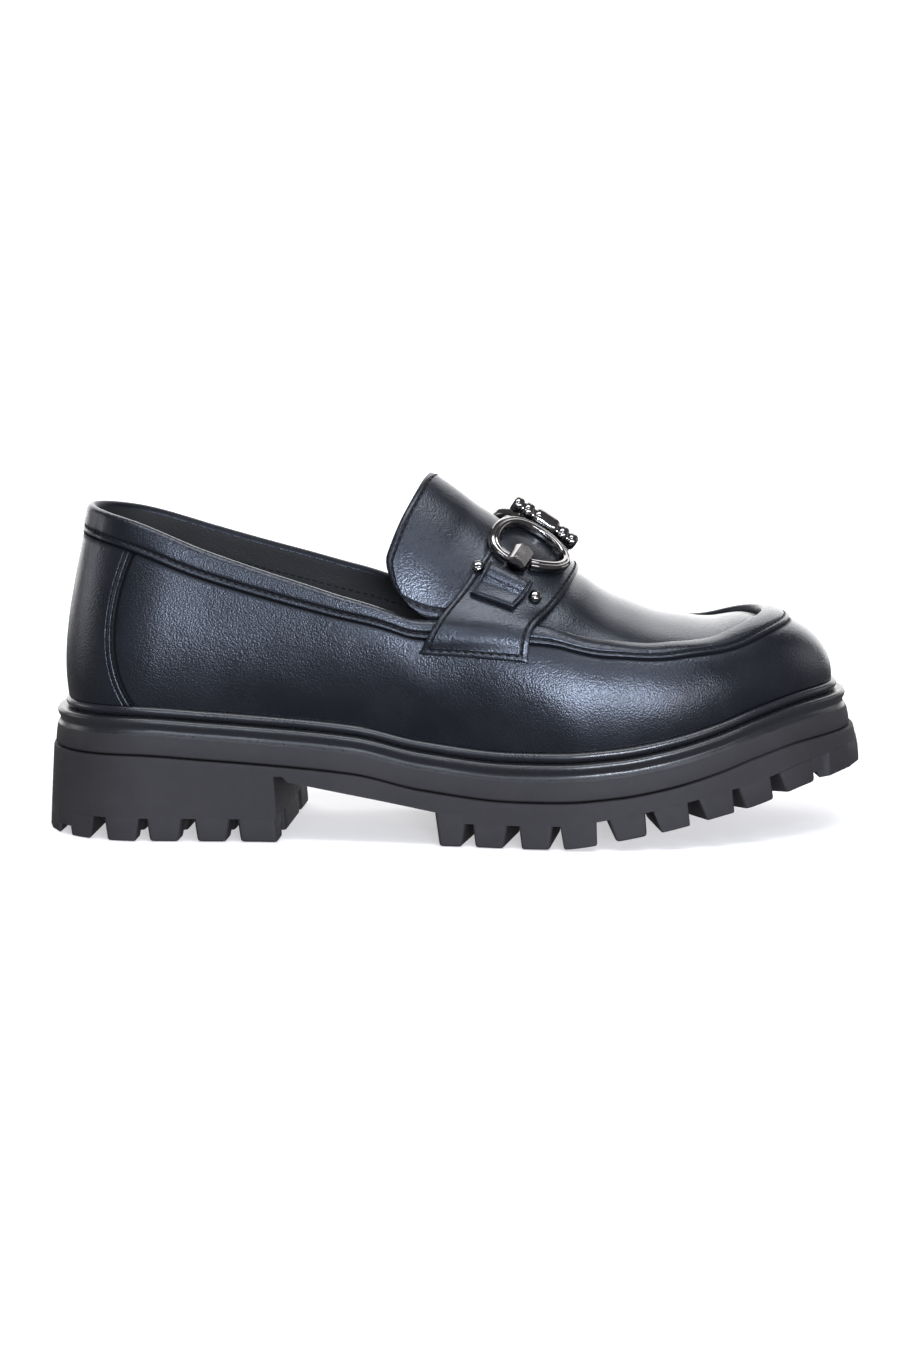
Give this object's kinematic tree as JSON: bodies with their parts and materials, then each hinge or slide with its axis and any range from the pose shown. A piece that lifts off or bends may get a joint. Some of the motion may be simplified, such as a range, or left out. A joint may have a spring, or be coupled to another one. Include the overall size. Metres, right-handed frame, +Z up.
{
  "type": "loafer",
  "caption": "Right loafer with a thick lugged platform sole, moccasin apron, saddle strap, plain metal bit and a raised tongue, standing empty.",
  "frame": {"origin": "on the floor, under the middle of the shoe's box", "axes": "+X towards the toe, +Y towards the medial (inner) side, +Z up"},
  "size_m": [0.278, 0.1022, 0.1213],
  "materials": {
    "outsole_rubber": "matte moulded",
    "midsole_rubber": "matte with a glossy upper edge",
    "welt_rubber": "glossy",
    "upper_leather": "semi-gloss, fine grain",
    "tongue_leather": "semi-gloss, fine grain",
    "strap_leather": "semi-gloss, fine grain",
    "insole_lining": "matte lining",
    "gunmetal": "polished dark plating"
  },
  "bodies": {
    "root": {"outsole": "outsole_rubber", "midsole": "midsole_rubber", "welt": "welt_rubber", "insole": "insole_lining", "upper": "upper_leather", "tongue": "tongue_leather", "saddle_strap": "strap_leather", "keeper_lateral": "strap_leather", "keeper_medial": "strap_leather", "stud_lateral_rear": "gunmetal", "stud_lateral_front": "gunmetal", "stud_medial_rear": "gunmetal", "stud_medial_front": "gunmetal", "ring_lateral": "gunmetal", "ring_medial": "gunmetal", "knob_lateral": "gunmetal", "knob_medial": "gunmetal", "bridge": "gunmetal"}
  },
  "joints": []
}
